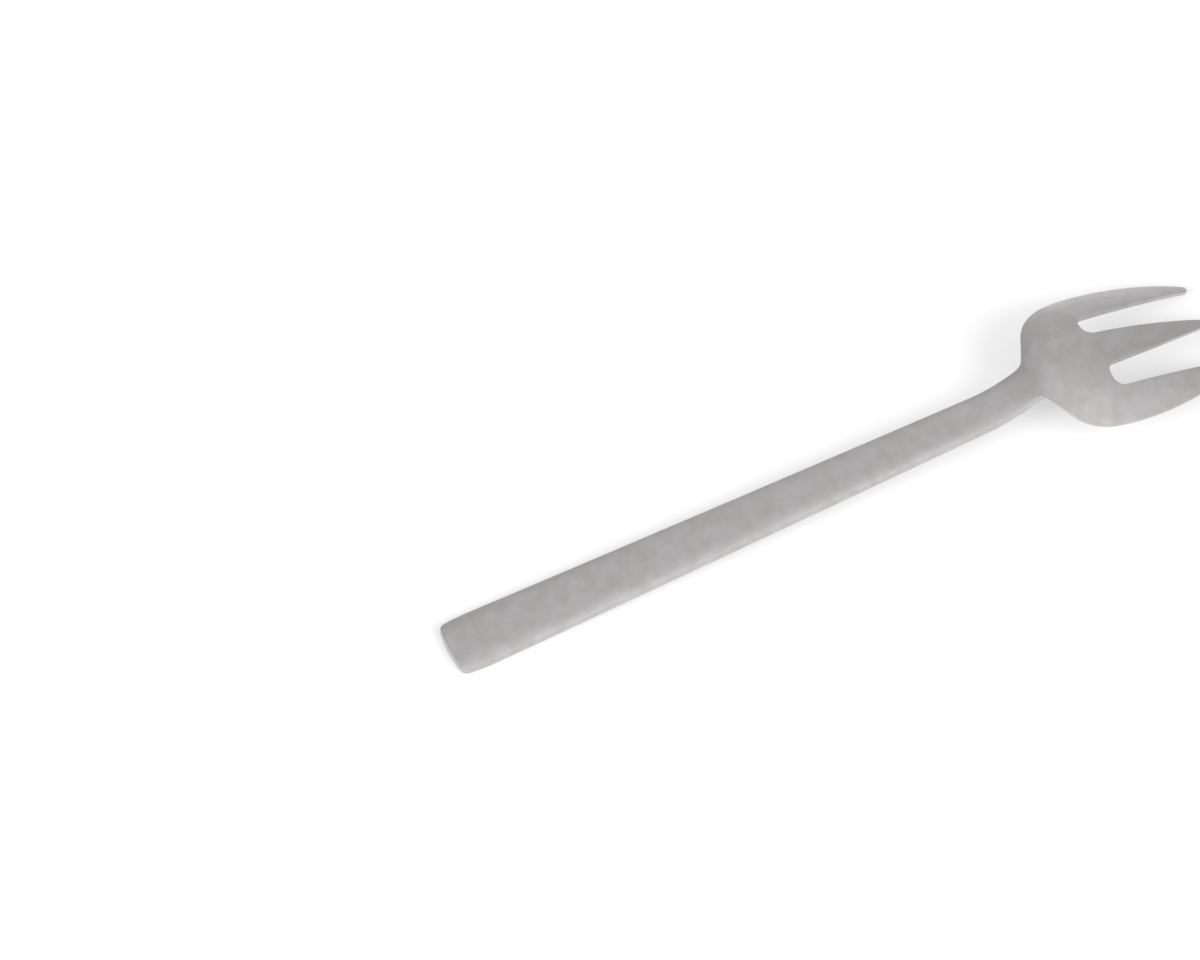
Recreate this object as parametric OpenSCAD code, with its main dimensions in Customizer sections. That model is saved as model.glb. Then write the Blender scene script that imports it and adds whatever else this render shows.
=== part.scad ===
// Three-tine pastry fork, pressed and ground from one strip of stainless steel.
// It lies with its back up, as it would on a table. X runs from the handle end to
// the tine tips, Y goes across and Z is up from the table. The origin is on the
// table, under the middle of the fork.

/* [Overall] */
// Length from the handle end to the tine tips
fork_length = 150; // [144:1:158]
// Radius of every softened edge, apart from the upper edge of the handle
edge_round = 0.3; // [0.15:0.05:0.35]

/* [Handle] */
// Width of the handle beside its end
handle_width = 10.6; // [9.6:0.1:12]
// Width of the neck, where the handle meets the head
neck_width = 6.8; // [6:0.1:8]
// Thickness of the handle and the neck along the middle
handle_thickness = 2.1; // [1.8:0.1:2.5]
// Radius of the softer upper edge of the handle
handle_edge_round = 0.7; // [0.4:0.05:0.75]
// Radius of the bowed handle end
end_bow_radius = 23; // [16:1:40]
// Radius of the two corners of the handle end
end_corner_radius = 1.3; // [0.8:0.1:1.8]
// Radius by which the sides draw in toward the end
end_side_radius = 28; // [20:1:40]
// Height ground off the underside at the end, where the handle rests
rest_grind = 0.08; // [0.05:0.01:0.12]

/* [Head outline] */
// Length of the head, from the end of the neck to the tine tips
head_length = 38.8; // [36:0.2:42]
// Greatest width of the head
head_width = 27.9; // [26:0.1:29]
// Radius of the inside corner between neck and shoulder
crotch_radius = 1.7; // [1.2:0.1:2.4]
// Radius of the round of the shoulder
shoulder_radius = 10.7; // [9.6:0.1:11.6]
// Radius of the flatter side after the shoulder
side_radius = 31; // [26:0.5:37]

/* [Tines] */
// Length of the tines, from the slot roots to the tips
tine_length = 24.5; // [22:0.1:26]
// Width of the middle tine at the slot roots
middle_tine_width = 6.8; // [6:0.1:7.4]
// Width of each slot at its root
slot_width = 4.5; // [4.2:0.1:5]
// Radius of the corners of a slot root
slot_corner_radius = 1.9; // [1.2:0.1:2]
// Radius of the nose of an outer tine
outer_nose_radius = 0.8; // [0.6:0.05:0.9]
// Radius of the nose of the middle tine
middle_nose_radius = 0.5; // [0.45:0.05:0.6]
// Thickness of the head at the slot roots
head_thickness = 1.3; // [1.1:0.1:1.7]
// Thickness of the tines at their tips
tip_thickness = 0.9; // [0.8:0.05:1.2]

/* [Side profile] */
// Radius of the faint lift along the handle, seen from the side
handle_lift_radius = 7100; // [5000:100:12000]
// Distance from the start of the upward bend to the end of the neck
bend_lead = 8.5; // [7:0.2:11]
// Radius of the upward bend of the neck
bend_radius = 16.8; // [15:0.2:19]
// Radius of the crest, where the neck turns over into the head
crest_radius = 7.7; // [6:0.1:9]
// Radius of the back of the head, seen from the side
back_radius = 33.5; // [28:0.5:38]
// Radius of the back of the tines, seen from the side
tine_back_radius = 160; // [140:1:190]
// Radius of the crown across the back of the head
crown_radius = 23.5; // [21:0.5:28]
// Radius of the crown across the tine tips
tip_crown_radius = 26; // [23:0.5:30]

/* [Hidden] */
steel = "silver";

// Angles in degrees
end_draw_in = 8;
shoulder_slope = 61.3;
side_slope = 9.3;
middle_tine_slope = 4.7;
neck_rise = 36.2;
crest_slope = -0.3;
back_slope = -14.9;
tine_back_turn = -14;
right_angle = 90;

// Shares
half = 1 / 2;
slot_flare_share = 0.013;
handle_roll_share = 0.145;
wall_lean_share = 0.5;
probe_share = 0.05;
edge_shares = [1 / 3, 2 / 3, 1];
rim_shares = [0, 0.3, 0.57, 0.8, 0.94, 1];
corner_shares = [1 / 3, 2 / 3, 1];
head_row_power = 1.4;

// Counts of steps
arc_steps = 14;
handle_rows = 9;
bend_rows = 10;
head_rows = 24;
tine_rows = 12;
tilt_rounds = 3;

// Marks along the fork, from the handle end
neck_x = fork_length - head_length;
bend_x = neck_x - bend_lead;
root_x = fork_length - tine_length;
strip_x = root_x + slot_corner_radius;

// Marks across the fork, from its middle
handle_half = handle_width * half;
neck_half = neck_width * half;
middle_half = middle_tine_width * half;
slot_far = middle_half + slot_width;

// A pen stands at [x, y, heading]. It walks legs of [radius, turn] or [length, 0],
// and a positive turn goes to its left.
function arc_point(pen, radius, turn) =
    let (side = sign(turn), heading = pen[2] + turn)
    [
        pen[0] + side * radius * (sin(heading) - sin(pen[2])),
        pen[1] - side * radius * (cos(heading) - cos(pen[2])),
        heading
    ];

function leg_points(pen, leg) =
    leg[1] == 0
        ? [[pen[0] + leg[0] * cos(pen[2]), pen[1] + leg[0] * sin(pen[2]), pen[2]]]
        : [for (k = [1 : arc_steps]) arc_point(pen, leg[0], leg[1] * k / arc_steps)];

function walk(pen, legs, from = 0) =
    from == len(legs)
        ? [pen]
        : let (points = leg_points(pen, legs[from]), last = len(points) - 1)
          concat(
              [pen],
              [for (k = [0 : 1 : last - 1]) points[k]],
              walk(points[last], legs, from + 1)
          );

// Height of the back along the middle, with the handle end level
back_path = walk(
    [0, handle_thickness, 0],
    [
        [handle_lift_radius, asin(bend_x / handle_lift_radius)],
        [bend_radius, neck_rise],
        [crest_radius, crest_slope - neck_rise],
        [back_radius, back_slope - crest_slope],
        [tine_back_radius, tine_back_turn]
    ]
);
back_table = [for (pen = back_path) [pen[0], pen[1]]];
slope_table = [for (pen = back_path) [pen[0], tan(pen[2])]];

function thickness_at(x) = lookup(x, [
    [neck_x, handle_thickness],
    [root_x, head_thickness],
    [fork_length, tip_thickness]
]);

// The handle is flat below and its back rolls over toward the rims: it falls by the fourth
// power of the share of the half width. From the neck on, the metal is pressed to a round crown.
function pressed_share_at(x) = lookup(x, [[bend_x, 0], [neck_x + crotch_radius, 1]]);

function crown_radius_at(x) = lookup(x, [[root_x, crown_radius], [fork_length, tip_crown_radius]]);
function crown_drop(x, y) = y * y / (2 * crown_radius_at(x));
function roll_drop(x, y) = handle_roll_share * side_at(x) * pow(y / side_at(x), 4);
function back_drop(x, y) =
    let (pressed = pressed_share_at(x))
    pressed * crown_drop(x, y) + (1 - pressed) * roll_drop(x, y);
function metal_at(x, y) = thickness_at(x) - (1 - pressed_share_at(x)) * roll_drop(x, y);

// Unit way from the back into the metal, along the edge walls. On the head they lean part
// of the way toward square to the crown.
function inward_at(x, y) =
    let (
        along = lookup(x, slope_table),
        across = -wall_lean_share * pressed_share_at(x) * y / crown_radius_at(x),
        way = [along, across, -1]
    )
    way / norm(way);

// Points of the back and the underside, with the handle end level
function level_back(spot) = [spot[0], spot[1], lookup(spot[0], back_table) - back_drop(spot[0], spot[1])];
function level_under(spot) =
    level_back(spot) + metal_at(spot[0], spot[1]) * inward_at(spot[0], spot[1]);
function level_face(spot, on_back) = on_back ? level_back(spot) : level_under(spot);

// A rounded edge on a sloping back is drawn in a little. The outlines allow for it, so
// that the fork keeps its overall length and width.
tip_x = fork_length - edge_round * inward_at(fork_length, 0)[0];
head_half = head_width * half - edge_round * inward_at(root_x, head_width * half)[1];

// Radius of the arc that leaves a point at a heading, turns right and runs
// smoothly into a nose of a given centre and radius
function radius_into_nose(start, heading, nose, nose_radius) =
    let (
        reach = nose - start,
        inward = [sin(heading), -cos(heading)]
    )
    (reach * reach - nose_radius * nose_radius) / (2 * (reach * inward - nose_radius));

// Turn of that arc up to where it meets the nose
function turn_into_nose(start, heading, nose, radius) =
    let (
        centre = start + radius * [sin(heading), -cos(heading)],
        reach = nose - centre
    )
    atan2(reach[0], reach[1]) + heading;

// Outline of the handle end, from its middle to where the side runs straight
end_bow_turn = asin(
    (handle_half - end_corner_radius * cos(end_draw_in) - end_side_radius * (1 - cos(end_draw_in)))
    / (end_bow_radius - end_corner_radius)
);
end_path = walk(
    [0, 0, right_angle],
    [
        [end_bow_radius, -end_bow_turn],
        [end_corner_radius, end_bow_turn + end_draw_in - right_angle],
        [end_side_radius, -end_draw_in]
    ]
);
end_table = [for (pen = end_path) [pen[1], pen[0]]];
side_start = end_path[len(end_path) - 1];

// Outline of one side of the head, from the end of the neck to the outer nose
shoulder_length = (
    head_half - neck_half
    - side_radius * (1 - cos(side_slope))
    - shoulder_radius * (cos(side_slope) - cos(shoulder_slope))
    - crotch_radius * (1 - cos(shoulder_slope))
) / sin(shoulder_slope);
shoulder_path = walk(
    [neck_x, neck_half, 0],
    [
        [crotch_radius, shoulder_slope],
        [shoulder_length, 0],
        [shoulder_radius, side_slope - shoulder_slope],
        [side_radius, -side_slope]
    ]
);
widest = shoulder_path[len(shoulder_path) - 1];

function slot_far_at(x) = slot_far + slot_flare_share * (x - strip_x);

outer_nose_x = tip_x - outer_nose_radius;
outer_nose = [outer_nose_x, slot_far_at(outer_nose_x) + outer_nose_radius];
outer_radius = radius_into_nose([widest[0], widest[1]], 0, outer_nose, outer_nose_radius);
outer_turn = turn_into_nose([widest[0], widest[1]], 0, outer_nose, outer_radius);
outer_path = walk(widest, [[outer_radius, -outer_turn]]);
outer_end = outer_path[len(outer_path) - 1];

side_table = [
    for (pen = concat([side_start], shoulder_path, outer_path)) [pen[0], pen[1]]
];
function side_at(x) = lookup(x, side_table);

// Outline of one side of the middle tine
middle_start = [strip_x, middle_half];
middle_nose = [tip_x - middle_nose_radius, 0];
middle_radius = radius_into_nose(
    middle_start, -middle_tine_slope, middle_nose, middle_nose_radius
);
middle_turn = turn_into_nose(
    middle_start, -middle_tine_slope, middle_nose, middle_radius
) + middle_tine_slope;
middle_path = walk(
    [strip_x, middle_half, -middle_tine_slope],
    [[middle_radius, middle_tine_slope - middle_turn]]
);
middle_table = [for (pen = middle_path) [pen[0], pen[1]]];
middle_end = middle_path[len(middle_path) - 1];

// Columns across the head: [y, x] of each one where the tines begin, on one side
rim_half = side_at(strip_x);
root_corner = [
    for (share = corner_shares)
        slot_corner_radius * [1 - cos(share * right_angle), -sin(share * right_angle)]
];
corner_last = len(root_corner) - 1;
half_columns = concat(
    [[0, strip_x], [middle_half * half, strip_x], [middle_half, strip_x]],
    [for (k = [0 : corner_last]) [middle_half + root_corner[k][0], strip_x + root_corner[k][1]]],
    [
        for (k = [corner_last : -1 : 0])
            [slot_far - root_corner[k][0], strip_x + root_corner[k][1]]
    ],
    [for (share = rim_shares) [slot_far + (rim_half - slot_far) * share, strip_x]]
);
half_last = len(half_columns) - 1;
columns = concat(
    [for (k = [half_last : -1 : 1]) [-half_columns[k][0], half_columns[k][1]]],
    half_columns
);
column_count = len(columns);
column_last = column_count - 1;

// The three tines as [first column, last column]
middle_columns = 2;
rim_columns = len(rim_shares) - 1;
tines = [
    [0, rim_columns],
    [half_last - middle_columns, half_last + middle_columns],
    [column_last - rim_columns, column_last]
];
tine_widths = [for (tine = tines) tine[1] - tine[0] + 1];

// Rows along the handle and the head
rows = concat(
    [side_start[0]],
    [for (k = [1 : handle_rows]) side_start[0] + (bend_x - side_start[0]) * k / handle_rows],
    [for (k = [1 : bend_rows]) bend_x + bend_lead * k / bend_rows],
    [for (k = [1 : head_rows]) neck_x + (strip_x - neck_x) * pow(k / head_rows, head_row_power)]
);
row_last = len(rows) - 1;
bow_start = neck_x + (root_x - neck_x) * half;

function bow_at(x) = x < bow_start ? 0 : pow((x - bow_start) / (strip_x - bow_start), 2);

// Plan position of row i, column j of the handle and head
function body_spot(i, j) =
    let (share = columns[j][0] / rim_half)
    i == 0
        ? [lookup(abs(share) * side_start[1], end_table), share * side_start[1]]
        : [
            rows[i] + (columns[j][1] - strip_x) * bow_at(rows[i]),
            share * side_at(rows[i])
        ];

// Plan position of row i, column j of a tine, where the last row is its nose
function nose_spot(nose, radius, turn_from, turn_to, share) =
    let (turn = turn_from + (turn_to - turn_from) * share)
    nose + radius * [cos(turn), sin(turn)];

function middle_spot(i, share) =
    let (
        reach = right_angle - middle_turn,
        x = strip_x + (middle_end[0] - strip_x) * i / tine_rows
    )
    i == tine_rows
        ? nose_spot(middle_nose, middle_nose_radius, -reach, reach, share)
        : [x, lookup(x, middle_table) * (2 * share - 1)];

function outer_spot(i, share) =
    let (
        inner_x = strip_x + (outer_nose[0] - strip_x) * i / tine_rows,
        outer_x = strip_x + (outer_end[0] - strip_x) * i / tine_rows,
        inner = [inner_x, slot_far_at(inner_x)],
        outer = [outer_x, side_at(outer_x)]
    )
    i == tine_rows
        ? nose_spot(outer_nose, outer_nose_radius, -right_angle, right_angle - outer_turn, share)
        : inner + (outer - inner) * share;

function tine_share(t, j) =
    t == 1 ? j / (tine_widths[1] - 1) : rim_shares[t == 0 ? rim_columns - j : j];

function tine_spot(t, i, j) =
    t == 1
        ? middle_spot(i, tine_share(t, j))
        : let (spot = outer_spot(i, tine_share(t, j))) [spot[0], t == 0 ? -spot[1] : spot[1]];

// Numbers of the grid points. A tine shares its first row with the head.
body_count = (row_last + 1) * column_count;
tine_starts = [
    body_count,
    body_count + tine_rows * tine_widths[0],
    body_count + tine_rows * (tine_widths[0] + tine_widths[1])
];
function body_id(i, j) = i * column_count + j;
function tine_id(t, i, j) =
    i == 0 ? body_id(row_last, tines[t][0] + j) : tine_starts[t] + (i - 1) * tine_widths[t] + j;

plan = concat(
    [for (i = [0 : row_last], j = [0 : column_last]) body_spot(i, j)],
    [
        for (t = [0 : 2], i = [1 : tine_rows], j = [0 : tine_widths[t] - 1])
            tine_spot(t, i, j)
    ]
);
plan_count = len(plan);

// The rim, once round the fork, counter-clockwise from above
function round_tine(t) =
    let (last = tine_widths[t] - 1)
    concat(
        [for (i = [1 : tine_rows]) tine_id(t, i, 0)],
        [for (j = [1 : last - 1]) tine_id(t, tine_rows, j)],
        [for (i = [tine_rows : -1 : 1]) tine_id(t, i, last)]
    );
rim = concat(
    [for (i = [0 : row_last]) body_id(i, 0)],
    round_tine(0),
    [for (j = [tines[0][1] : tines[1][0]]) body_id(row_last, j)],
    round_tine(1),
    [for (j = [tines[1][1] : tines[2][0]]) body_id(row_last, j)],
    round_tine(2),
    [for (i = [row_last : -1 : 0]) body_id(i, column_last)],
    [for (j = [column_last - 1 : -1 : 1]) body_id(0, j)]
);
rim_count = len(rim);

function outward(k) =
    let (
        before = plan[rim[(k + rim_count - 1) % rim_count]],
        after = plan[rim[(k + 1) % rim_count]],
        along = after - before
    )
    [along[1], -along[0]] / norm(along);
outwards = [for (k = [0 : rim_count - 1]) outward(k)];
rim_places = [for (id = [0 : plan_count - 1]) search(id, rim)];

// The rounded edge, seen across the rim, is an arc that leaves the back or the underside
// flush, already tilted toward the wall, and turns on until it runs along the wall
function wall_way(k, on_back) =
    let (spot = plan[rim[k]])
    (on_back ? 1 : -1) * inward_at(spot[0], spot[1]);

function edge_radius(k, on_back) =
    on_back ? lookup(plan[rim[k]][0], [[bend_x, handle_edge_round], [neck_x, edge_round]]) : edge_round;

function tilt_sine(k, spot, on_back) =
    let (
        probe = probe_share * edge_round * outwards[k],
        fall = level_face(spot + probe, on_back) - level_face(spot, on_back)
    )
    fall * wall_way(k, on_back) / norm(fall);

// The back or the underside ends this far short of the rim. A tilt there saves reach, so
// the depth and the tilt are found in turns.
function edge_depth(k, on_back, turns = tilt_rounds) =
    let (radius = edge_radius(k, on_back))
    turns == 0
        ? radius
        : let (inner = plan[rim[k]] - edge_depth(k, on_back, turns - 1) * outwards[k])
          radius * (1 - tilt_sine(k, inner, on_back));

// The grid drawn in from the rim by the depths. The spots between two rims move in proportion.
function rim_shift(id, depths) =
    let (k = rim_places[id][0])
    -depths[k] * outwards[k];

function shift_between(first, last, share, depths) =
    rim_shift(first, depths) * (1 - share) + rim_shift(last, depths) * share;

function body_shift(i, j, depths) =
    let (id = body_id(i, j), share = half + half * columns[j][0] / rim_half)
    len(rim_places[id]) > 0
        ? rim_shift(id, depths)
        : i == row_last
            ? [0, 0]
            : shift_between(body_id(i, 0), body_id(i, column_last), share, depths);

function tine_shift(t, i, j, depths) =
    let (id = tine_id(t, i, j), last = tine_widths[t] - 1, share = tine_share(t, j))
    len(rim_places[id]) > 0
        ? rim_shift(id, depths)
        : shift_between(tine_id(t, i, 0), tine_id(t, i, last), t == 0 ? 1 - share : share, depths);

function drawn_in(depths) = concat(
    [for (i = [0 : row_last], j = [0 : column_last]) plan[body_id(i, j)] + body_shift(i, j, depths)],
    [
        for (t = [0 : 2], i = [1 : tine_rows], j = [0 : tine_widths[t] - 1])
            plan[tine_id(t, i, j)] + tine_shift(t, i, j, depths)
    ]
);
back_spots = drawn_in([for (k = [0 : rim_count - 1]) edge_depth(k, true)]);
under_spots = drawn_in([for (k = [0 : rim_count - 1]) edge_depth(k, false)]);

// One ring of points round the edge, at a share of the arc's turn
function edge_point(k, inner, share, on_back) =
    let (
        way = wall_way(k, on_back),
        level_out = [outwards[k][0], outwards[k][1], 0],
        out = level_out - (level_out * way) * way,
        tilt = asin(tilt_sine(k, inner, on_back)),
        turn = tilt + (right_angle - tilt) * share,
        reach = (sin(turn) - sin(tilt)) * out / norm(out),
        sink = (cos(tilt) - cos(turn)) * way
    )
    level_face(inner, on_back) + edge_radius(k, on_back) * (reach + sink);

function edge_ring(share, on_back) = [
    for (k = [0 : rim_count - 1])
        edge_point(k, (on_back ? back_spots : under_spots)[rim[k]], share, on_back)
];

// Points of the solid: the back, the underside, then the rings round the edge
edge_steps = len(edge_shares);
level_points = concat(
    [for (spot = back_spots) level_back(spot)],
    [for (spot = under_spots) level_under(spot)],
    [for (step = [0 : edge_steps - 1]) each edge_ring(edge_shares[step], true)],
    [for (step = [edge_steps - 1 : -1 : 0]) each edge_ring(edge_shares[step], false)]
);

// The fork tips forward about its handle end until its tines touch the table
tine_lift = max([
    for (point = level_points)
        if (point[0] > root_x) (rest_grind - point[2]) / point[0]
]);
points = [
    for (point = level_points)
        [point[0] - fork_length * half, point[1], point[2] + tine_lift * point[0] - rest_grind]
];

// Faces of the solid. Two triangles fill each cell.
function cell(a, b, c, d) = [[a, b, c], [a, c, d]];

cells = concat(
    [
        for (i = [0 : row_last - 1], j = [0 : column_last - 1])
            [body_id(i, j), body_id(i, j + 1), body_id(i + 1, j + 1), body_id(i + 1, j)]
    ],
    [
        for (t = [0 : 2], i = [0 : tine_rows - 1], j = [0 : tine_widths[t] - 2])
            [tine_id(t, i, j), tine_id(t, i, j + 1), tine_id(t, i + 1, j + 1), tine_id(t, i + 1, j)]
    ]
);
back_faces = [for (c = cells) each cell(c[0], c[1], c[2], c[3])];
under_faces = [
    for (face = back_faces) [face[0] + plan_count, face[2] + plan_count, face[1] + plan_count]
];

ring_last = 2 * edge_steps + 1;
function ring_id(ring, k) =
    ring == 0
        ? rim[k]
        : ring == ring_last
            ? rim[k] + plan_count
            : 2 * plan_count + (ring - 1) * rim_count + k;
edge_faces = [
    for (ring = [0 : ring_last - 1], k = [0 : rim_count - 1])
        let (next = (k + 1) % rim_count)
        each cell(ring_id(ring, k), ring_id(ring, next), ring_id(ring + 1, next), ring_id(ring + 1, k))
];

// The whole fork, before its underside is ground where the handle end rests
module pressed_fork() {
    polyhedron(points, concat(back_faces, under_faces, edge_faces));
}

// The stock below the table, under the handle end
module rest_cut() {
    translate([-fork_length * half - handle_width, -handle_width, -handle_thickness])
        cube([handle_width * 2, handle_width * 2, handle_thickness]);
}

module fork() {
    color(steel)
        difference() {
            pressed_fork();
            rest_cut();
        }
}

fork();
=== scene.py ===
"""A satin stainless steel pastry fork, lying with its back up on a light table."""

import bpy
import numpy as np
from mathutils import Matrix, Vector


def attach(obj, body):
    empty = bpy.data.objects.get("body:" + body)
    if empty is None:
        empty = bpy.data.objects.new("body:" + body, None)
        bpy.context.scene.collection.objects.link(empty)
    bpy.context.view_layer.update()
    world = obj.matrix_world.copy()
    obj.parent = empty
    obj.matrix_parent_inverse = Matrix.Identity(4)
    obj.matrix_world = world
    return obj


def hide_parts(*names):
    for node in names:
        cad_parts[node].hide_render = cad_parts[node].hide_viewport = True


bl_info = {
    "name": "Pastry fork",
    "version": (1, 0, 0),
    "blender": (4, 5, 0),
    "location": "3D Viewport > Sidebar > Cutlery",
    "description": "Adds a one-piece pastry fork, and the light table and the soft studio around it",
    "category": "Add Mesh",
}

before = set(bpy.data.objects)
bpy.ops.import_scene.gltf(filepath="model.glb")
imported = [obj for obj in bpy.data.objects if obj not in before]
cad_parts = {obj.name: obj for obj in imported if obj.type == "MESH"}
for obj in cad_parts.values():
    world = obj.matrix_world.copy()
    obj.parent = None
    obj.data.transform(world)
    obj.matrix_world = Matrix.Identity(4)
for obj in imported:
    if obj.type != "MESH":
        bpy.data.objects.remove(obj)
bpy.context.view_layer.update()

MM = 0.001
RIGHT_ANGLE = np.pi / 2

# How finely the fork is drawn: columns across half the head, rows along each stretch, and steps round each
# edge and along each arc of the outline
MIDDLE_TINE_COLUMNS = 10
SLOT_CORNER_COLUMNS = 8
SLOT_FLOOR_COLUMNS = 3
OUTER_TINE_COLUMNS = 16
HANDLE_ROWS = 110
BEND_ROWS = 26
HEAD_ROWS = 70
TINE_ROWS = 66
EDGE_STEPS = 7
ARC_STEPS = 300

# How far the rows stay bowed: from the handle end, as a share of the handle's width, from the slots' floors,
# as a share of the head before them, and from the noses, as a share of the tine
END_REACH_SHARE = 1.2
ROOT_REACH_SHARE = 0.75
NOSE_REACH_SHARE = 0.1

# The power that crowds the handle's rows toward its end
END_CROWDING = 1.3

# A surface's tilt at its rim is measured over this share of the edge radius, and found in this many rounds
PROBE_SHARE = 0.05
TILT_ROUNDS = 5

# The last share of the tines, over which the slots' sharp edge grows as round as the noses'
SLOT_TIP_SHARE = 0.15

# The clouds' and the grit's noise: how many finer layers it has and how strong these are, the part of the
# noise's range that the clouds use, and how far the roughness swings with them
CLOUD_LAYERS = 3.0
CLOUD_LAYER_STRENGTH = 0.55
CLOUD_RANGE = (0.29, 0.71)
ROUGHNESS_SWING = 0.03
GRIT_LAYERS = 1.0
GRIT_LAYER_STRENGTH = 0.5

# The camera: its sensor's width in millimetres, how near it begins to see, and the place on the table that it
# looks at
SENSOR_WIDTH = 36
NEAR_CLIP = 10 * MM
AIM = Vector((-36.43, 19.84, 0)) * MM

# The light table: half its side, how far below the fork it lies, its lamps' glow and the rays that see it
TABLE_HALF = 3000 * MM
TABLE_Z = -0.02 * MM
TABLE_GLOW = 0.5
SEEING_RAYS = ["Is Camera Ray", "Is Glossy Ray", "Is Transmission Ray"]

# The studio's walls and ceiling. Each soft light has its tilt from straight up toward the camera and its
# swing to the right, both in degrees, how sharply it fades away from its middle, and its strength.
WIDE_PANEL = (30, -11, 0.74, 0.94)
RIGHT_PANEL = (34, 45, 5.7, 0.5)
NEAR_PANEL = (65, 20, 5, 0.08)
FAR_SWEEP = (-69, 6, 6, 0.3)
DARK_CORNER = (-48, -52, 10, -0.09)
STUDIO_LIGHTS = [WIDE_PANEL, RIGHT_PANEL, NEAR_PANEL, FAR_SWEEP, DARK_CORNER]

# The two key lights. Each has its tilt and swing, how wide it looks from the table, all in degrees, and
# its strength.
LEFT_KEY = (49, -55, 30, 4.1)
RIGHT_KEY = (38, 39, 34, 3.0)
KEY_LIGHTS = [LEFT_KEY, RIGHT_KEY]


def millimetres(name, size, description):
    """A length setting: written in millimetres, kept in metres."""
    return bpy.props.FloatProperty(
        name=name, description=description, default=size * MM, min=0, precision=5, unit="LENGTH"
    )


def degrees(name, turn, description):
    """An angle setting: written in degrees, kept in radians."""
    return bpy.props.FloatProperty(
        name=name, description=description, default=np.radians(turn), subtype="ANGLE"
    )


def share(name, amount, description):
    """A share setting, from nothing to the whole."""
    return bpy.props.FloatProperty(
        name=name, description=description, default=amount, min=0, max=1, subtype="FACTOR"
    )


def linear(hex_colour):
    """The linear colour of an sRGB hex value: the low part is a straight line, the rest a power of 2.4."""
    channels = np.array([int(hex_colour[i:i + 2], 16) for i in (1, 3, 5)]) / 255
    curved = ((channels + 0.055) / 1.055) ** 2.4
    return tuple(np.where(channels <= 0.04045, channels / 12.92, curved))


def colour(name, hex_colour, description):
    """A colour setting: written as an sRGB hex value, kept as a linear colour."""
    return bpy.props.FloatVectorProperty(
        name=name, description=description, default=linear(hex_colour), min=0, max=1, size=3, subtype="COLOR"
    )


class PastryForkSizes(bpy.types.PropertyGroup):
    """The fork's real sizes."""

    overall_length: millimetres("Overall length", 150, "From the handle end to the tips of the tines")
    handle_width: millimetres("Handle width", 10.6, "At the handle end, where the handle is widest")
    neck_width: millimetres("Neck width", 6.8, "Where the handle meets the head")
    handle_thickness: millimetres("Handle thickness", 2.1, "The metal in the middle of the handle")
    handle_roll: share("Handle roll", 0.145, "The back's fall to the handle's rim, over its half width")
    head_thickness: millimetres("Head thickness", 1.3, "The metal at the roots of the tines")
    tip_thickness: millimetres("Tip thickness", 0.9, "The metal at the tips of the tines")
    handle_edge_round: millimetres("Handle edge radius", 0.4, "The upper edge along the handle")
    head_edge_round: millimetres("Head edge radius", 0.3, "The upper edge round the head and the tines")
    slot_edge_round: millimetres("Slot edge radius", 0.1, "The upper edge in the slots, up to the noses")
    under_edge_round: millimetres("Under edge radius", 0.3, "The lower edge all round")
    rest_grind: millimetres("Rest flat depth", 0.08, "Ground off under the handle end, where it rests")

    end_bow_radius: millimetres("Handle end bow", 23, "The bow across the handle end, seen from above")
    end_corner_radius: millimetres("Handle end corners", 1.3, "The corners of the handle end")
    end_side_radius: millimetres("Handle end sides", 28, "The sides where they draw in to the end corners")
    end_draw_in: degrees("Handle end draw-in", 8, "How far the sides turn in before the end corners")

    head_length: millimetres("Head length", 38.8, "From the neck to the tips")
    head_width: millimetres("Head width", 27.9, "Across the outer tines")
    crotch_radius: millimetres("Neck fillet", 1.7, "Where the neck flares into the shoulders")
    shoulder_radius: millimetres("Shoulder radius", 10.7, "The round of each shoulder")
    shoulder_slope: degrees("Shoulder slope", 61.3, "How steeply the shoulders leave the neck")
    side_radius: millimetres("Side radius", 31, "From the shoulders to the widest place")
    side_slope: degrees("Side slope", 9.3, "Where the shoulder passes into the side")

    tine_length: millimetres("Tine length", 24.5, "From the slots' floors to the tips")
    middle_tine_width: millimetres("Middle tine width", 6.8, "At its root")
    middle_tine_slope: degrees("Middle tine slope", 4.7, "How each side of the middle tine leaves its root")
    slot_width: millimetres("Slot width", 4.5, "Each slot, at its floor")
    slot_corner_radius: millimetres("Slot corners", 1.9, "The corners of the slots' floors")
    slot_flare: share("Slot flare", 0.013, "How much the outer tines stand apart toward their tips")
    outer_nose_radius: millimetres("Outer noses", 0.8, "The round tips of the outer tines")
    middle_nose_radius: millimetres("Middle nose", 0.5, "The round tip of the middle tine")

    handle_lift_radius: millimetres("Handle bow", 7100, "The slight bow of the handle, seen from the side")
    bend_lead: millimetres("Bend lead", 8.5, "How far before the neck the metal starts to rise")
    bend_radius: millimetres("Neck bend", 16.8, "The bend that raises the neck")
    neck_rise: degrees("Neck rise", 36.2, "How steeply the neck rises")
    crest_radius: millimetres("Crest", 7.7, "The bend over the highest place")
    crest_slope: degrees("Crest slope", -0.3, "Where the crest passes into the head's back")
    back_radius: millimetres("Head bow", 33.5, "The bow of the head's back")
    back_slope: degrees("Back slope", -14.9, "Where the head's back passes into the tines")
    tine_back_radius: millimetres("Tine bow", 160, "The slight bow along the tines")
    tine_back_turn: degrees("Tine turn", -14, "How far that bow turns")
    crown_radius: millimetres("Crown", 23.5, "The round across the back, as far as the tines' roots")
    tip_crown_radius: millimetres("Crown at the tips", 26, "The round across the back at the tips")
    wall_lean: share("Wall lean", 0.5, "How far the head's edge walls turn square to the crowned back")


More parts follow.
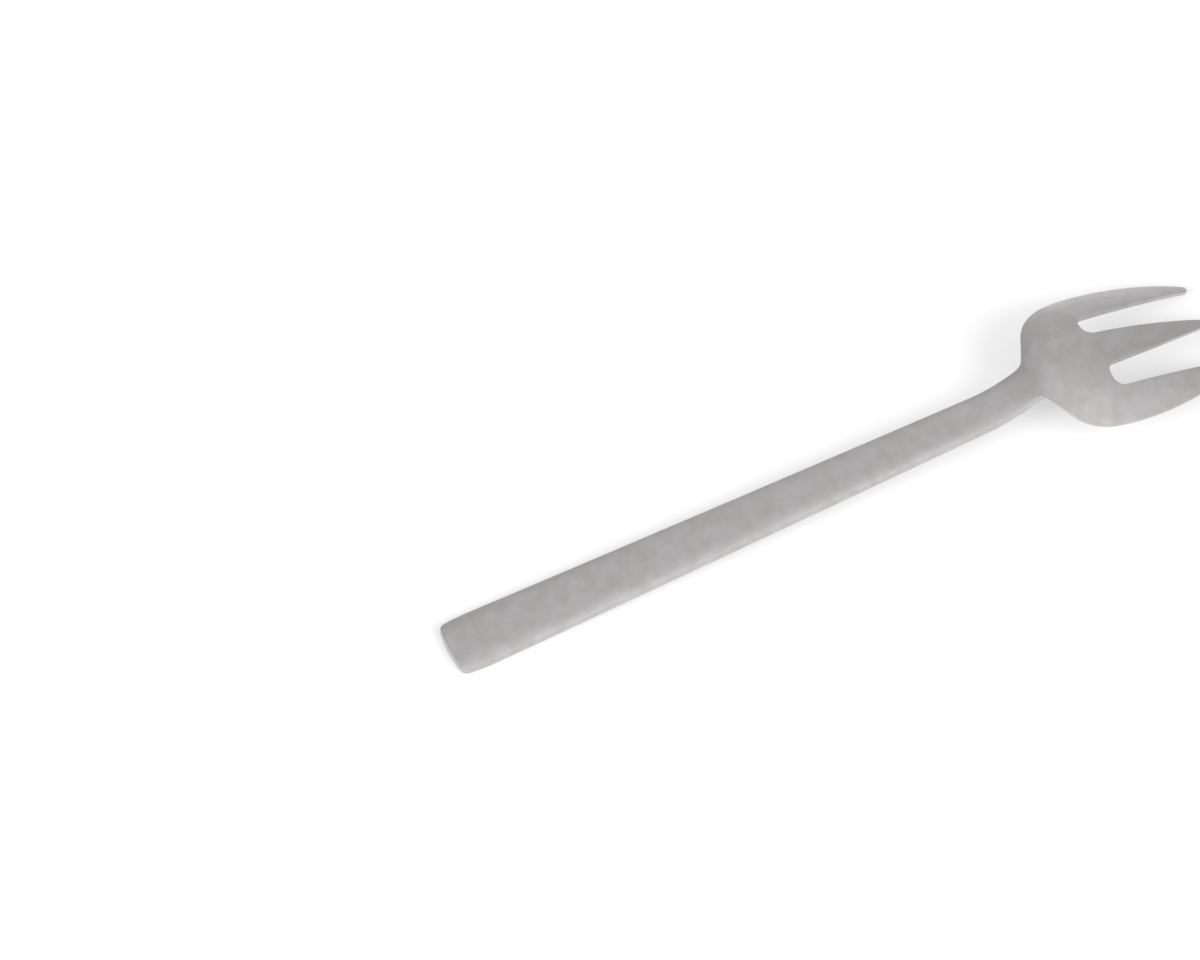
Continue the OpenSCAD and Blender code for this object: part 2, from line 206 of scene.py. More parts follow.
class PastryForkFinish(bpy.types.PropertyGroup):
    """The fork's metal."""

    steel: colour("Steel", "#cac8ca", "What a white light shows in the satin metal")
    steel_shade: colour("Steel, duller places", "#bfbdba", "The faint clouds that the satin grit leaves")
    roughness: share("Roughness", 0.34, "How far the satin grit spreads a reflection")
    cloud_size: millimetres("Cloud size", 2.6, "How far apart the duller places are")
    # The real grit is about 0.05 mm, too fine to show, so it is drawn coarser
    grit_size: millimetres("Grit size", 0.35, "How far apart the marks of the satin grit are")
    grit_depth: millimetres("Grit depth", 0.0012, "How deep the drawn grit is")


class PastryForkStage(bpy.types.PropertyGroup):
    """The table, the light and the camera."""

    table: colour("Table", "#959595", "The light table's opal sheet, with the lamps below it off")
    view_elevation: degrees("Camera elevation", 57.934, "How far above the table the camera stands")
    view_turn: degrees("Camera turn", 26.399, "How far the camera's way turns from straight across the fork")
    view_distance: millimetres("Camera distance", 800, "From the camera to the place that it looks at")
    lens: bpy.props.FloatProperty(
        name="Lens", description="Focal length in millimetres, on a 36 mm wide sensor", default=137.88
    )


def unit(ways):
    """Each way divided by its own length."""
    return ways / np.linalg.norm(ways, axis=-1, keepdims=True)


def between(first, last, part):
    """The place that lies the given part of the way from first to last."""
    return first + (last - first) * part


def walk(start, heading, legs):
    """A pen walks tangent legs, each a pair of reach and turn.

    With no turn it goes straight. Otherwise it follows an arc of that radius: x grows by the radius times
    the change in the heading's sine, and y shrinks by the radius times the change in its cosine.
    Gives rows of x, y and heading.
    """
    rows = [np.array([[start[0], start[1], heading]])]
    for reach, turn in legs:
        x, y, heading = rows[-1][-1]
        if turn == 0:
            rows.append(np.array([[x + reach * np.cos(heading), y + reach * np.sin(heading), heading]]))
            continue
        headings = heading + turn * np.arange(1, ARC_STEPS + 1) / ARC_STEPS
        radius = np.sign(turn) * reach
        rows.append(np.stack([
            x + radius * (np.sin(headings) - np.sin(heading)),
            y - radius * (np.cos(headings) - np.cos(heading)),
            headings,
        ], axis=1))
    return np.concatenate(rows)


def arc_onto_nose(start, heading, nose, nose_radius):
    """The radius and the turn of the arc that leaves start at the heading, bends right and meets the nose
    circle from inside, where its centre, the nose's centre and the place of contact lie on one line."""
    reach = nose - start
    inward = np.array([np.sin(heading), -np.cos(heading)])
    radius = (reach @ reach - nose_radius ** 2) / (2 * (reach @ inward - nose_radius))
    away = nose - (start + radius * inward)
    return radius, np.arctan2(away[0], away[1]) + heading


class ForkForm:
    """The whole fork as curves and functions, in metres.

    x runs from the handle end to the tips, y across the fork and z up. A spot is an x and y seen from above.
    """

    def __init__(self, sizes):
        self.sizes = s = sizes
        self.neck_x = s.overall_length - s.head_length
        self.bend_x = self.neck_x - s.bend_lead
        self.root_x = s.overall_length - s.tine_length
        self.strip_x = self.root_x + s.slot_corner_radius
        self.profile = walk((0, s.handle_thickness), 0, [
            (s.handle_lift_radius, np.arcsin(self.bend_x / s.handle_lift_radius)),
            (s.bend_radius, s.neck_rise),
            (s.crest_radius, s.crest_slope - s.neck_rise),
            (s.back_radius, s.back_slope - s.crest_slope),
            (s.tine_back_radius, s.tine_back_turn),
        ])
        self.draw_outlines()

    def crown_at(self, x):
        """The radius of the round across the back."""
        s = self.sizes
        return np.interp(x, [self.root_x, s.overall_length], [s.crown_radius, s.tip_crown_radius])

    def pressed_at(self, x):
        """Nothing along the flat-bottomed handle, 1 past the neck, where the whole sheet is pressed round."""
        return np.interp(x, [self.bend_x, self.neck_x + self.sizes.crotch_radius], [0, 1])

    def roll_drop(self, x, y):
        """How far the handle's back falls beside its middle: by the fourth power of the share of the half
        width, so that it is nearly flat in the middle and rolls over toward the rim."""
        half = self.half_width(x)
        return self.sizes.handle_roll * half * (y / half) ** 4

    def back(self, spot):
        """The back over a spot: the side profile, less the handle's roll, which gives way past the neck to
        the crown's drop, y squared over twice its radius."""
        x, y = spot[..., 0], spot[..., 1]
        drop = between(self.roll_drop(x, y), y ** 2 / (2 * self.crown_at(x)), self.pressed_at(x))
        return np.stack([x, y, np.interp(x, self.profile[:, 0], self.profile[:, 1]) - drop], axis=-1)

    def inward(self, spot):
        """The way from the back into the metal: down, tilted by the profile's slope and, on the head, part of
        the way toward square to the crown."""
        x, y = spot[..., 0], spot[..., 1]
        return unit(np.stack([
            np.interp(x, self.profile[:, 0], np.tan(self.profile[:, 2])),
            -self.sizes.wall_lean * self.pressed_at(x) * y / self.crown_at(x),
            -np.ones_like(x),
        ], axis=-1))

    def under(self, spot):
        """The underside under a spot: the back plus the metal's thickness along the inward way.
        The thickness falls to the tips, and along the handle it also loses the roll's drop, so that the
        handle is flat below."""
        s = self.sizes
        x, y = spot[..., 0], spot[..., 1]
        metal = np.interp(
            x,
            [self.neck_x, self.root_x, s.overall_length],
            [s.handle_thickness, s.head_thickness, s.tip_thickness],
        )
        metal = metal - (1 - self.pressed_at(x)) * self.roll_drop(x, y)
        return self.back(spot) + metal[..., None] * self.inward(spot)

    def draw_outlines(self):
        """The outline from above, as tangent arcs: the handle end, one side and the noses of the tines."""
        s = self.sizes
        handle_half = s.handle_width / 2
        neck_half = s.neck_width / 2
        tip_way = self.inward(np.array([s.overall_length, 0.0]))
        wide_way = self.inward(np.array([self.root_x, s.head_width / 2]))
        tip_x = s.overall_length - s.head_edge_round * tip_way[0]
        head_half = s.head_width / 2 - s.head_edge_round * wide_way[1]

        side_drop = s.end_side_radius * (1 - np.cos(s.end_draw_in))
        corner_reach = s.end_corner_radius * np.cos(s.end_draw_in)
        bow_half = handle_half - corner_reach - side_drop
        bow_turn = np.arcsin(bow_half / (s.end_bow_radius - s.end_corner_radius))
        self.end = walk((0, 0), RIGHT_ANGLE, [
            (s.end_bow_radius, -bow_turn),
            (s.end_corner_radius, bow_turn + s.end_draw_in - RIGHT_ANGLE),
            (s.end_side_radius, -s.end_draw_in),
        ])

        rise_of_arcs = (
            s.crotch_radius * (1 - np.cos(s.shoulder_slope))
            + s.shoulder_radius * (np.cos(s.side_slope) - np.cos(s.shoulder_slope))
            + s.side_radius * (1 - np.cos(s.side_slope))
        )
        straight = (head_half - neck_half - rise_of_arcs) / np.sin(s.shoulder_slope)
        shoulder = walk((self.neck_x, neck_half), 0, [
            (s.crotch_radius, s.shoulder_slope),
            (straight, 0),
            (s.shoulder_radius, s.side_slope - s.shoulder_slope),
            (s.side_radius, -s.side_slope),
        ])

        self.middle_half = s.middle_tine_width / 2
        self.slot_far = self.middle_half + s.slot_width
        nose_x = tip_x - s.outer_nose_radius
        nose_y = self.slot_far + s.slot_flare * (nose_x - self.strip_x) + s.outer_nose_radius
        self.outer_nose = np.array([nose_x, nose_y])
        radius, self.outer_turn = arc_onto_nose(shoulder[-1, :2], 0, self.outer_nose, s.outer_nose_radius)
        outer = walk(shoulder[-1, :2], 0, [(radius, -self.outer_turn)])
        self.outer_end_x = outer[-1, 0]
        self.side = np.concatenate([self.end[-1:], shoulder, outer[1:]])

        self.middle_nose = np.array([tip_x - s.middle_nose_radius, 0.0])
        root_corner = np.array([self.strip_x, self.middle_half])
        slope = s.middle_tine_slope
        radius, turn = arc_onto_nose(root_corner, -slope, self.middle_nose, s.middle_nose_radius)
        self.middle_turn = turn + slope
        self.middle = walk(root_corner, -slope, [(radius, -turn)])

    def half_width(self, x):
        """Half the fork's width."""
        return np.interp(x, self.side[:, 0], self.side[:, 1])

    def root_spots(self):
        """Half a row of spots from the middle line to the rim, along the roots of the tines.

        It runs straight across the middle tine, round the slot's floor by quarter circles at its corners,
        and straight across the outer tine.
        """
        corner = self.sizes.slot_corner_radius
        turn = RIGHT_ANGLE * np.arange(1, SLOT_CORNER_COLUMNS + 1) / SLOT_CORNER_COLUMNS
        floor = np.arange(1, SLOT_FLOOR_COLUMNS + 1) / SLOT_FLOOR_COLUMNS
        outer = np.arange(1, OUTER_TINE_COLUMNS + 1) / OUTER_TINE_COLUMNS
        y = np.concatenate([
            self.middle_half * np.arange(MIDDLE_TINE_COLUMNS + 1) / MIDDLE_TINE_COLUMNS,
            self.middle_half + corner * (1 - np.cos(turn)),
            between(self.middle_half + corner, self.slot_far - corner, floor),
            self.slot_far - corner * (1 - np.sin(turn)),
            between(self.slot_far, self.half_width(self.strip_x), outer),
        ])
        x = np.concatenate([
            np.full(MIDDLE_TINE_COLUMNS + 1, self.strip_x),
            self.strip_x - corner * np.sin(turn),
            np.full(SLOT_FLOOR_COLUMNS, self.root_x),
            self.strip_x - corner * np.cos(turn),
            np.full(OUTER_TINE_COLUMNS, self.strip_x),
        ])
        return np.stack([x, y], axis=1)

    def row_places(self):
        """The rows' places along the handle, the bend and the head, closer together toward the handle end."""
        start = self.end[-1, 0]
        return np.concatenate([
            between(start, self.bend_x, (np.arange(HANDLE_ROWS + 1) / HANDLE_ROWS) ** END_CROWDING),
            between(self.bend_x, self.neck_x, np.arange(1, BEND_ROWS + 1) / BEND_ROWS),
            between(self.neck_x, self.strip_x, np.arange(1, HEAD_ROWS + 1) / HEAD_ROWS),
        ])

    def middle_tine(self, along):
        """Spots of the middle tine: rows straight across, the last ones bowed onto its nose."""
        across = np.linspace(0, 1, 2 * MIDDLE_TINE_COLUMNS + 1)
        x = between(self.strip_x, self.middle[-1, 0], along)
        half = np.interp(x, self.middle[:, 0], self.middle[:, 1])
        spots = np.stack(np.broadcast_arrays(x[:, None], half[:, None] * (2 * across - 1)), axis=-1)
        reach = RIGHT_ANGLE - self.middle_turn
        turn = between(-reach, reach, across)
        nose = self.middle_nose + self.sizes.middle_nose_radius * ways_round(turn)
        return spots + nose_weight(along)[:, None, None] * (nose - spots[-1])

    def outer_tine(self, along):
        """Spots of the far tine: rows from the slot's side to the rim, the last ones bowed onto its nose."""
        across = np.linspace(0, 1, OUTER_TINE_COLUMNS + 1)
        slot_x = between(self.strip_x, self.outer_nose[0], along)
        rim_x = between(self.strip_x, self.outer_end_x, along)
        slot_y = self.slot_far + self.sizes.slot_flare * (slot_x - self.strip_x)
        slot_side = np.stack([slot_x, slot_y], axis=-1)
        rim_side = np.stack([rim_x, self.half_width(rim_x)], axis=-1)
        spots = between(slot_side[:, None], rim_side[:, None], across[None, :, None])
        turn = between(-RIGHT_ANGLE, RIGHT_ANGLE - self.outer_turn, across)
        nose = self.outer_nose + self.sizes.outer_nose_radius * ways_round(turn)
        return spots + nose_weight(along)[:, None, None] * (nose - spots[-1])


def ways_round(turn):
    """The flat unit ways at the given turns from x toward y."""
    return np.stack([np.cos(turn), np.sin(turn)], axis=-1)


def distances_along(spots):
    """How far each spot lies from the first, along the line through them all."""
    steps = np.diff(spots, axis=0)
    return np.concatenate([[0], np.cumsum(np.hypot(steps[:, 0], steps[:, 1]))])


def nose_weight(along):
    """Nothing until close to a tine's tip, then growing by the square to 1 at the tip."""
    return np.clip((along - 1) / NOSE_REACH_SHARE + 1, 0, 1) ** 2


class ForkGrid:
    """The fork seen from above as one net of spots: a grid for the handle and head, and one for each tine.

    Each grid's row is a straight line across, and the rows near the handle end, the slots' floors and the
    noses bow, by a weight that grows by the square, until the last one lies on the outline.
    """

    def __init__(self, form):
        self.form = form
        half = form.root_spots()
        self.root_row = np.concatenate([half[:0:-1] * [1, -1], half])
        reach = distances_along(half)
        half_places = reach / reach[-1]
        self.places = np.concatenate([-half_places[:0:-1], half_places])
        middle = MIDDLE_TINE_COLUMNS
        outer = OUTER_TINE_COLUMNS
        last = len(self.root_row) - 1
        centre = last // 2
        self.spans = [(0, outer), (centre - middle, centre + middle), (last - outer, last)]

        rows = form.row_places()
        end_reach = END_REACH_SHARE * form.sizes.handle_width
        root_reach = ROOT_REACH_SHARE * (form.root_x - form.neck_x) + form.strip_x - form.root_x
        self.end_weight = (np.clip(1 - (rows - rows[0]) / end_reach, 0, 1) ** 2)[:, None, None]
        self.root_weight = (np.clip(1 - (rows[-1] - rows) / root_reach, 0, 1) ** 2)[:, None, None]
        self.along = np.linspace(0, 1, TINE_ROWS + 1)
        self.number(self.body_spots(rows), self.tine_spots())
        self.walk_rim()

    def body_spots(self, rows):
        """The handle and head."""
        form = self.form
        across = form.half_width(rows)[:, None] * self.places
        plain = np.stack(np.broadcast_arrays(rows[:, None], across), axis=-1)
        reach = distances_along(form.end)
        where = np.abs(self.places) * reach[-1]
        end_row = np.stack([
            np.interp(where, reach, form.end[:, 0]),
            np.sign(self.places) * np.interp(where, reach, form.end[:, 1]),
        ], axis=-1)
        return plain + self.end_weight * (end_row - plain[0]) + self.root_weight * (self.root_row - plain[-1])

    def tine_spots(self):
        """The near, middle and far tine."""
        far = self.form.outer_tine(self.along)
        return [far[:, ::-1] * [1, -1], self.form.middle_tine(self.along), far]

    def number(self, body, tines):
        """Numbers every spot once: a tine's first row is part of the body's last."""
        count = body.shape[0] * body.shape[1]
        self.grids = [np.arange(count).reshape(body.shape[:2])]
        spots = [body.reshape(-1, 2)]
        for tine, (first, last) in zip(tines, self.spans):
            grid = np.empty(tine.shape[:2], dtype=int)
            grid[0] = self.grids[0][-1, first:last + 1]
            grid[1:] = count + np.arange(grid[1:].size).reshape(grid[1:].shape)
            count += grid[1:].size
            self.grids.append(grid)
            spots.append(tine[1:].reshape(-1, 2))
        self.spots = np.concatenate(spots)

    def walk_rim(self):
        """The rim's spots in order, anticlockwise from above, and the way square to the rim at each."""
        body, near, middle, far = self.grids

        def round_tine(grid):
            """Out along a tine's near side, round its nose and back along its far side."""
            return [grid[1:, 0], grid[-1, 1:-1], grid[:0:-1, -1]]

        near_slot = body[-1, self.spans[0][1]:self.spans[1][0] + 1]
        far_slot = body[-1, self.spans[1][1]:self.spans[2][0] + 1]
        self.rim = np.concatenate([
            body[:, 0], *round_tine(near), near_slot, *round_tine(middle), far_slot, *round_tine(far),
            body[::-1, -1], body[0, -2:0:-1],
        ])
        place = self.spots[self.rim]
        ahead = unit(np.roll(place, -1, axis=0) - place)
        behind = unit(place - np.roll(place, 1, axis=0))
        tangent = unit(ahead + behind)
        self.outward = np.stack([tangent[:, 1], -tangent[:, 0]], axis=-1)

    def drawn_in(self, depths):
        """The same spots with the rim drawn in by the given depths. The spots between follow their two rims
        in proportion, and the bowed rows follow the end's, the slots' and the noses' own rims."""
        rim_shift = np.zeros_like(self.spots)
        rim_shift[self.rim] = -depths[:, None] * self.outward
        body = self.grids[0]
        at_rim = rim_shift[body]
        sidewise = between(at_rim[:, :1], at_rim[:, -1:], (self.places[:, None] + 1) / 2)
        root_shift = at_rim[-1].copy()
        for first, last in self.spans:
            root_shift[first:last + 1] = np.linspace(at_rim[-1, first], at_rim[-1, last], last - first + 1)
        spots = self.spots.copy()
        spots[body] += (
            sidewise
            + self.end_weight * (at_rim[0] - sidewise[0])
            + self.root_weight * (root_shift - sidewise[-1])
        )
        for tine in self.grids[1:]:
            at_rim = rim_shift[tine]
            across = np.linspace(0, 1, tine.shape[1])[:, None]
            sidewise = between(at_rim[:, :1], at_rim[:, -1:], across)
            shift = sidewise + nose_weight(self.along)[:, None, None] * (at_rim[-1] - sidewise[-1])
            spots[tine[1:]] += shift[1:]
        return spots

    def faces(self, count):
        """Four corners a face: the back, the underside count points further on, and the rings of the edge."""
        back = []
        for grid in self.grids:
            corners = [grid[:-1, :-1], grid[1:, :-1], grid[1:, 1:], grid[:-1, 1:]]
            back.append(np.stack(corners, axis=-1).reshape(-1, 4))
        back = np.concatenate(back)
        rings = 2 * count + np.arange(2 * EDGE_STEPS * len(self.rim)).reshape(2 * EDGE_STEPS, -1)
        loops = np.concatenate([self.rim[None], rings, self.rim[None] + count])
        onward = np.roll(loops, -1, axis=1)
        edge = np.stack([loops[:-1], loops[1:], onward[1:], onward[:-1]], axis=-1)
        return np.concatenate([back, back[:, ::-1] + count, edge.reshape(-1, 4)])


class RoundedEdge:
    """The rounded edge between a surface and the wall round the fork. Side is 1 on the back and -1 below.

    Seen across the rim it is an arc that leaves the surface flush, already tilted into the metal, and turns
    on until it runs along the wall. A tilt saves reach: the arc reaches out by the radius times 1 less the
    sine of the tilt, and so far is the surface's rim drawn in. The tilt is that of the surface at its own
    drawn-in rim, so the two are found in turns.
    """

    def __init__(self, form, grid, surface, radii, side):
        self.radii = radii[:, None]
        self.way = side * form.inward(grid.spots[grid.rim])
        out = np.concatenate([grid.outward, np.zeros((len(grid.rim), 1))], axis=1)
        self.out = unit(out - (out * self.way).sum(axis=1, keepdims=True) * self.way)
        depths = radii
        for _ in range(TILT_ROUNDS):
            spots = grid.spots[grid.rim] - depths[:, None] * grid.outward
            start = surface(spots)
            flush = unit(surface(spots + PROBE_SHARE * self.radii * grid.outward) - start)
            sine = (flush * self.way).sum(axis=1)
            depths = radii * (1 - sine)
        self.spots = grid.drawn_in(depths)
        self.start = surface(self.spots[grid.rim])
        self.tilt = np.arcsin(sine)[:, None]

    def rings(self):
        """Each ring is the surface's rim, plus the radius times the growth of the turn's sine outward, plus
        the radius times the fall of its cosine into the metal."""
        part = (np.arange(1, EDGE_STEPS + 1) / EDGE_STEPS)[:, None, None]
        turn = between(self.tilt, RIGHT_ANGLE, part)
        outward = (np.sin(turn) - np.sin(self.tilt)) * self.out
        inward = (np.cos(self.tilt) - np.cos(turn)) * self.way
        return self.start + self.radii * (outward + inward)


def edge_radii(form, rim):
    """The radius of the upper edge at each spot of the rim. Outside it changes from the handle's to the
    head's over the bend. Inside the slots it is sharp, and grows to the head's close to the tips."""
    sizes = form.sizes
    x, y = rim[:, 0], np.abs(rim[:, 1])
    outside = np.interp(x, [form.bend_x, form.neck_x], [sizes.handle_edge_round, sizes.head_edge_round])
    tip_starts = sizes.overall_length - SLOT_TIP_SHARE * sizes.tine_length
    inside = np.interp(x, [tip_starts, sizes.overall_length], [sizes.slot_edge_round, sizes.head_edge_round])
    nose_y = form.slot_far + sizes.slot_flare * (x - form.strip_x) + sizes.outer_nose_radius
    in_slot = (x > form.root_x - sizes.slot_edge_round) & (y < nose_y)
    return np.where(in_slot, inside, outside)


def fork_surface(sizes):
    """The fork's points and its faces.

    The back is the net of spots lifted to the back's height, and the underside the same net carried through
    the metal. Both end short of the rim, by their edge radius less what its tilt saves, and the rounded edges
    join them. At last the fork is turned about its handle end until the noses touch the table, what would
    lie below the table under the handle end is ground flat, and the fork is centred along x.
    """
    form = ForkForm(sizes)
    grid = ForkGrid(form)
    back_radii = edge_radii(form, grid.spots[grid.rim])
    under_radii = np.full(len(grid.rim), sizes.under_edge_round)
    upper = RoundedEdge(form, grid, form.back, back_radii, 1)
    lower = RoundedEdge(form, grid, form.under, under_radii, -1)
    points = np.concatenate([
        form.back(upper.spots), form.under(lower.spots),
        upper.rings().reshape(-1, 3), lower.rings()[::-1].reshape(-1, 3),
    ])

    tines = points[:, 0] > form.root_x
    lift = np.max((sizes.rest_grind - points[tines, 2]) / points[tines, 0])
    points[:, 2] += lift * points[:, 0] - sizes.rest_grind
    points[:, 2] = np.maximum(points[:, 2], 0)
    points[:, 0] -= sizes.overall_length / 2
    return points, grid.faces(len(grid.spots))


def add_node(tree, kind, inputs=(), **settings):
    """Adds a node with its settings, and feeds each input from another node's output or with a value."""
    node = tree.nodes.new(kind)
    for name, value in settings.items():
        setattr(node, name, value)
    for name, value in dict(inputs).items():
        if isinstance(value, bpy.types.NodeSocket):
            tree.links.new(value, node.inputs[name])
        else:
            node.inputs[name].default_value = value
    return node


def new_material(name):
    """An empty material, and its node tree."""
    material = bpy.data.materials.new(name)
    material.use_nodes = True
    material.node_tree.nodes.clear()
    return material, material.node_tree


def satin_stainless_steel(finish):
    """Satin stainless steel: rolled sheet, pressed, then blasted with fine grit and tumbled.

    The eye gets a soft grey without any sharp reflection, faint warmer clouds where the grit bit deeper, and
    the fine grain of the grit itself.
    """
    material, tree = new_material("satin_stainless_steel")
    place = add_node(tree, "ShaderNodeTexCoord").outputs["Object"]
    clouds = add_node(tree, "ShaderNodeTexNoise", {
        "Vector": place, "Scale": 1 / finish.cloud_size,
        "Detail": CLOUD_LAYERS, "Roughness": CLOUD_LAYER_STRENGTH,
    })
    duller = add_node(tree, "ShaderNodeMapRange", {
        "Value": clouds.outputs["Fac"], "From Min": CLOUD_RANGE[0], "From Max": CLOUD_RANGE[1],
    }).outputs["Result"]
    tint = add_node(tree, "ShaderNodeMix", {
        "Factor": duller, "A": (*finish.steel, 1), "B": (*finish.steel_shade, 1),
    }, data_type="RGBA")
    roughness = add_node(tree, "ShaderNodeMapRange", {
        "Value": duller,
        "To Min": finish.roughness - ROUGHNESS_SWING, "To Max": finish.roughness + ROUGHNESS_SWING,
    })
    grit = add_node(tree, "ShaderNodeTexNoise", {
        "Vector": place, "Scale": 1 / finish.grit_size,
        "Detail": GRIT_LAYERS, "Roughness": GRIT_LAYER_STRENGTH,
    })
    bump = add_node(tree, "ShaderNodeBump", {
        "Height": grit.outputs["Fac"], "Strength": 1.0, "Distance": finish.grit_depth,
    })
    steel = add_node(tree, "ShaderNodeBsdfPrincipled", {
        "Base Color": tint.outputs["Result"], "Metallic": 1.0,
        "Roughness": roughness.outputs["Result"], "Normal": bump.outputs["Normal"],
    })
    add_node(tree, "ShaderNodeOutputMaterial", {"Surface": steel.outputs["BSDF"]})
    return material


def opal_acrylic(stage):
    """Opal acrylic: a cast milky sheet with lamps below it.

    The eye gets an even white, which only the fork's shadow dims. The sheet scatters the studio's light,
    and the glow of its lamps is added where the camera or a reflection sees it.
    """
    material, tree = new_material("opal_acrylic")
    rays = add_node(tree, "ShaderNodeLightPath")
    seen = 0.0
    for kind in SEEING_RAYS:
        seen = add_node(tree, "ShaderNodeMath", {0: rays.outputs[kind], 1: TABLE_GLOW, 2: seen},
                        operation="MULTIPLY_ADD").outputs["Value"]
    glow = add_node(tree, "ShaderNodeEmission", {"Strength": seen})
    sheet = add_node(tree, "ShaderNodeBsdfDiffuse", {"Color": (*stage.table, 1)})
    both = add_node(tree, "ShaderNodeAddShader", {0: sheet.outputs["BSDF"], 1: glow.outputs["Emission"]})
    add_node(tree, "ShaderNodeOutputMaterial", {"Surface": both.outputs["Shader"]})
    return material


class PASTRYFORK_OT_add_fork(bpy.types.Operator):
    """Add the fork: one pressed piece of steel, in place of the plain solid."""

    bl_idname = "pastry_fork.add_fork"
    bl_label = "Add fork"

    def execute(self, context):
        points, faces = fork_surface(context.scene.pastry_fork_sizes)
        mesh = bpy.data.meshes.new("fork_metal")
        mesh.from_pydata(points.tolist(), [], faces.tolist())
        mesh.shade_smooth()
        mesh.materials.append(satin_stainless_steel(context.scene.pastry_fork_finish))
        fork = bpy.data.objects.new("fork_metal", mesh)
        context.scene.collection.objects.link(fork)
        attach(fork, "root")
        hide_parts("fork")
        return {"FINISHED"}


def add_table(stage):
    """The light table: one flat square far wider than the view."""
    half = TABLE_HALF
    corners = [(-half, -half, TABLE_Z), (half, -half, TABLE_Z), (half, half, TABLE_Z), (-half, half, TABLE_Z)]
    mesh = bpy.data.meshes.new("table")
    mesh.from_pydata(corners, [], [(0, 1, 2, 3)])
    mesh.materials.append(opal_acrylic(stage))
    table = bpy.data.objects.new("table", mesh)
    bpy.context.scene.collection.objects.link(table)


def camera_ways(stage):
    """The camera's forward and rightward ways over the table, as flat unit ways."""
    forward = Vector((np.sin(stage.view_turn), np.cos(stage.view_turn), 0))
    right = Vector((np.cos(stage.view_turn), -np.sin(stage.view_turn), 0))
    return forward, right


def light_way(stage, tilt, swing):
    """The way from the table to a light, from its tilt toward the camera and its swing to the right."""
    forward, right = camera_ways(stage)
    tilt, swing = np.radians(tilt), np.radians(swing)
    upright = Vector((0, 0, np.cos(tilt))) - forward * np.sin(tilt)
    return upright * np.cos(swing) + right * np.sin(swing)


def light_studio(stage):
    """The studio around the table as a world. Each soft light adds its strength times the exponential of
    its fade times the cosine of the angle to its middle, less 1. The dark corner takes light away in
    the same manner."""
    world = bpy.data.worlds.new("studio")
    world.use_nodes = True
    tree = world.node_tree
    tree.nodes.clear()
    way = add_node(tree, "ShaderNodeTexCoord").outputs["Generated"]
    level = 0.0
    for tilt, swing, fade, strength in STUDIO_LIGHTS:
        toward = add_node(tree, "ShaderNodeVectorMath", {0: way, 1: light_way(stage, tilt, swing)},
                          operation="DOT_PRODUCT")
        faded = add_node(tree, "ShaderNodeMath", {0: toward.outputs["Value"], 1: fade, 2: -fade},
                         operation="MULTIPLY_ADD")
        glow = add_node(tree, "ShaderNodeMath", {0: faded.outputs["Value"]}, operation="EXPONENT")
        level = add_node(tree, "ShaderNodeMath", {0: glow.outputs["Value"], 1: strength, 2: level},
                         operation="MULTIPLY_ADD").outputs["Value"]
    walls = add_node(tree, "ShaderNodeBackground", {"Color": (1, 1, 1, 1), "Strength": level})
    add_node(tree, "ShaderNodeOutputWorld", {"Surface": walls.outputs["Background"]})
    bpy.context.scene.world = world


def add_key_lights(stage):
    """Two soft lights at the camera's left and right. They give the fork's shadow its way, and no
    reflection shows them."""
    for number, (tilt, swing, spread, strength) in enumerate(KEY_LIGHTS, start=1):
        name = f"key_light_{number}"
        key = bpy.data.objects.new(name, bpy.data.lights.new(name, "SUN"))
        key.data.energy = strength
        key.data.angle = np.radians(spread)
        key.rotation_mode = "QUATERNION"
        key.rotation_quaternion = light_way(stage, tilt, swing).to_track_quat("Z", "Y")
        key.visible_glossy = False
        bpy.context.scene.collection.objects.link(key)


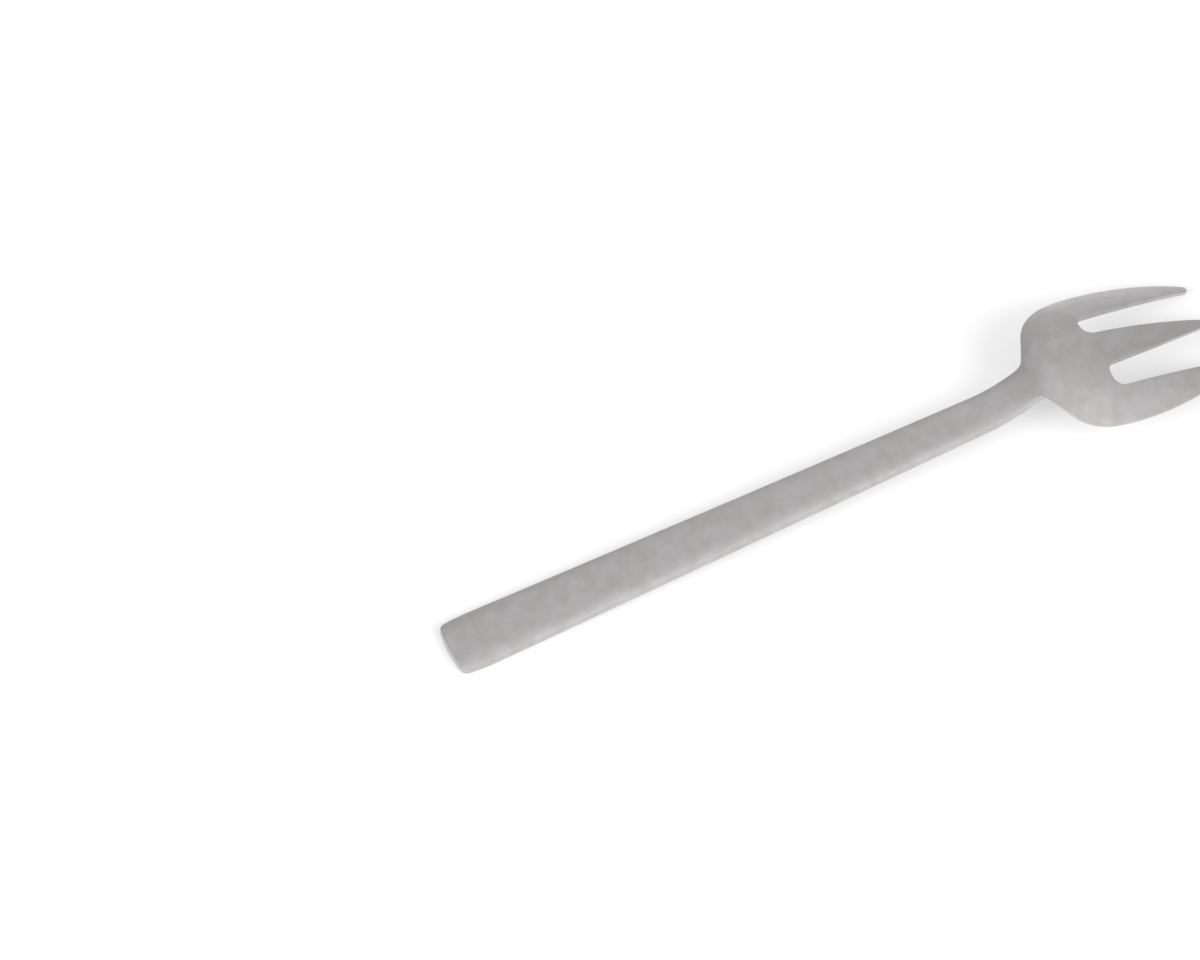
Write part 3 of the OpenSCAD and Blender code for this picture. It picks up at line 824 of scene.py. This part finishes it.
def set_camera(stage):
    """The photograph's view: a long lens, looking down across the fork from the handle's side."""
    forward, right = camera_ways(stage)
    look = forward * np.cos(stage.view_elevation) - Vector((0, 0, np.sin(stage.view_elevation)))
    camera = bpy.data.objects.new("camera", bpy.data.cameras.new("camera"))
    camera.data.sensor_fit = "HORIZONTAL"
    camera.data.sensor_width = SENSOR_WIDTH
    camera.data.lens = stage.lens
    camera.data.clip_start = NEAR_CLIP
    turned = Matrix((right, right.cross(look), -look)).transposed().to_4x4()
    camera.matrix_world = Matrix.Translation(AIM - look * stage.view_distance) @ turned
    bpy.context.scene.collection.objects.link(camera)
    bpy.context.scene.camera = camera


class PASTRYFORK_OT_set_stage(bpy.types.Operator):
    """Set the stage: the light table, the soft studio and the camera."""

    bl_idname = "pastry_fork.set_stage"
    bl_label = "Set stage"

    def execute(self, context):
        stage = context.scene.pastry_fork_stage
        add_table(stage)
        light_studio(stage)
        add_key_lights(stage)
        set_camera(stage)
        context.scene.view_settings.view_transform = "Standard"
        return {"FINISHED"}


class PASTRYFORK_PT_panel(bpy.types.Panel):
    """Lists the fork and its stage in the sidebar."""

    bl_idname = "PASTRYFORK_PT_panel"
    bl_label = "Pastry fork"
    bl_space_type = "VIEW_3D"
    bl_region_type = "UI"
    bl_category = "Cutlery"

    def draw(self, context):
        for operator in OPERATORS:
            self.layout.operator(operator.bl_idname)
        for name in SETTINGS:
            settings = getattr(context.scene, name)
            for setting in type(settings).__annotations__:
                self.layout.prop(settings, setting)


SETTINGS = {
    "pastry_fork_sizes": PastryForkSizes,
    "pastry_fork_finish": PastryForkFinish,
    "pastry_fork_stage": PastryForkStage,
}
OPERATORS = [PASTRYFORK_OT_add_fork, PASTRYFORK_OT_set_stage]


def register():
    """Adds the settings, the operators and the panel."""
    for settings in SETTINGS.values():
        bpy.utils.register_class(settings)
    for name, settings in SETTINGS.items():
        setattr(bpy.types.Scene, name, bpy.props.PointerProperty(type=settings))
    for item in [*OPERATORS, PASTRYFORK_PT_panel]:
        bpy.utils.register_class(item)


def unregister():
    """Takes them away again, the last one first."""
    for item in [PASTRYFORK_PT_panel, *OPERATORS]:
        bpy.utils.unregister_class(item)
    for name in SETTINGS:
        delattr(bpy.types.Scene, name)
    for settings in SETTINGS.values():
        bpy.utils.unregister_class(settings)


def main():
    """Makes the fork and its stage."""
    register()
    bpy.ops.pastry_fork.add_fork()
    bpy.ops.pastry_fork.set_stage()


if __name__ == "__main__":
    main()
